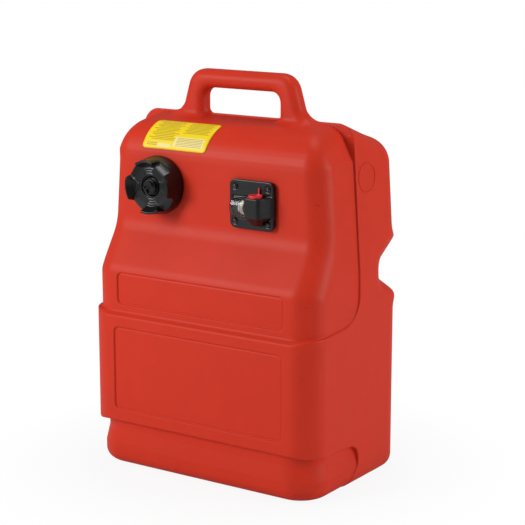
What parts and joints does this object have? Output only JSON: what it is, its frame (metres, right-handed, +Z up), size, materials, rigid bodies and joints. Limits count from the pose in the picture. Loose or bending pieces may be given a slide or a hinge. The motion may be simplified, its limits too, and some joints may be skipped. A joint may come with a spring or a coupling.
{
  "type": "outboard fuel tank",
  "caption": "Portable moulded fuel tank with a carrying handle, vented screw cap, float gauge, fuel port with plug, and pickup tube.",
  "frame": {"origin": "centre of the base, on the surface that the tank stands on", "axes": "+Z up, -Y towards the front with the cap and the fitting, +X to the right seen from the front, along the handle"},
  "size_m": [0.345, 0.218, 0.5143],
  "materials": {
    "tank_plastic": "satin, faint orange peel",
    "label": "printed film",
    "cap_plastic": "moulded satin",
    "insert_plastic": "moulded satin",
    "seal_rubber": "matte",
    "knob_plastic": "moulded satin",
    "clip_plastic": "moulded natural",
    "fitting_plastic": "moulded satin",
    "clear_plastic": "clear, polished",
    "scale_plastic": "gloss",
    "drum_plastic": "moulded satin",
    "steel": "drawn wire",
    "float_foam": "closed-cell foam skin",
    "plug_plastic": "moulded gloss",
    "tube_plastic": "extruded natural",
    "strainer_plastic": "moulded natural",
    "screw_metal": "black coated, satin",
    "insert_brass": "turned"
  },
  "bodies": {
    "tank": {"tank_shell": "tank_plastic", "shoulder_label": "label", "valve_gasket": "seal_rubber", "valve_body": "fitting_plastic", "gauge_lens": "clear_plastic", "lens_seal": "seal_rubber", "gauge_scale": "scale_plastic", "gauge_pin": "steel", "pickup_tube": "tube_plastic", "pickup_strainer": "strainer_plastic", "valve_screw_1": "screw_metal", "valve_screw_2": "screw_metal", "valve_screw_3": "screw_metal", "valve_screw_4": "screw_metal", "screw_insert_1": "insert_brass", "screw_insert_2": "insert_brass", "screw_insert_3": "insert_brass", "screw_insert_4": "insert_brass"},
    "cap_seal": {"cap_gasket": "seal_rubber"},
    "fuel_cap": {"cap_shell": "cap_plastic", "cap_insert": "insert_plastic"},
    "vent_seal": {"vent_o_ring": "seal_rubber"},
    "vent": {"vent_knob": "knob_plastic", "vent_clip": "clip_plastic"},
    "gauge_arm": {"gauge_drum": "drum_plastic", "float_arm": "steel", "gauge_float": "float_foam"},
    "plug": {"port_plug": "plug_plastic"}
  },
  "joints": [
    {"name": "cap_lift", "type": "slide", "parent": "tank", "child": "cap_seal", "axis": [0, -1, 0], "range_m": [0, 0.015]},
    {"name": "cap_turn", "type": "hinge", "parent": "cap_seal", "child": "fuel_cap", "pos_m": [-0.0805, -0.07, 0.372], "axis": [0, -1, 0], "range_deg": [0, 1080]},
    {"name": "vent_lift", "type": "slide", "parent": "fuel_cap", "child": "vent_seal", "axis": [0, -1, 0], "range_m": [0, 0.0015]},
    {"name": "vent_turn", "type": "hinge", "parent": "vent_seal", "child": "vent", "pos_m": [-0.0805, -0.07, 0.372], "axis": [0, -1, 0], "range_deg": [0, 270]},
    {"name": "float_swing", "type": "hinge", "parent": "tank", "child": "gauge_arm", "pos_m": [0.048, -0.0745, 0.3572], "axis": [1, 0, 0], "range_deg": [0, 98]},
    {"name": "plug_pull", "type": "slide", "parent": "tank", "child": "plug", "axis": [0, 0, 1], "range_m": [0, 0.03]}
  ],
  "couplings": [
    {"joint": "cap_lift", "follows": "cap_turn", "m_per_rad": 0.00079577},
    {"joint": "vent_turn", "follows": "vent_lift", "rad_per_m": 3141.6}
  ]
}
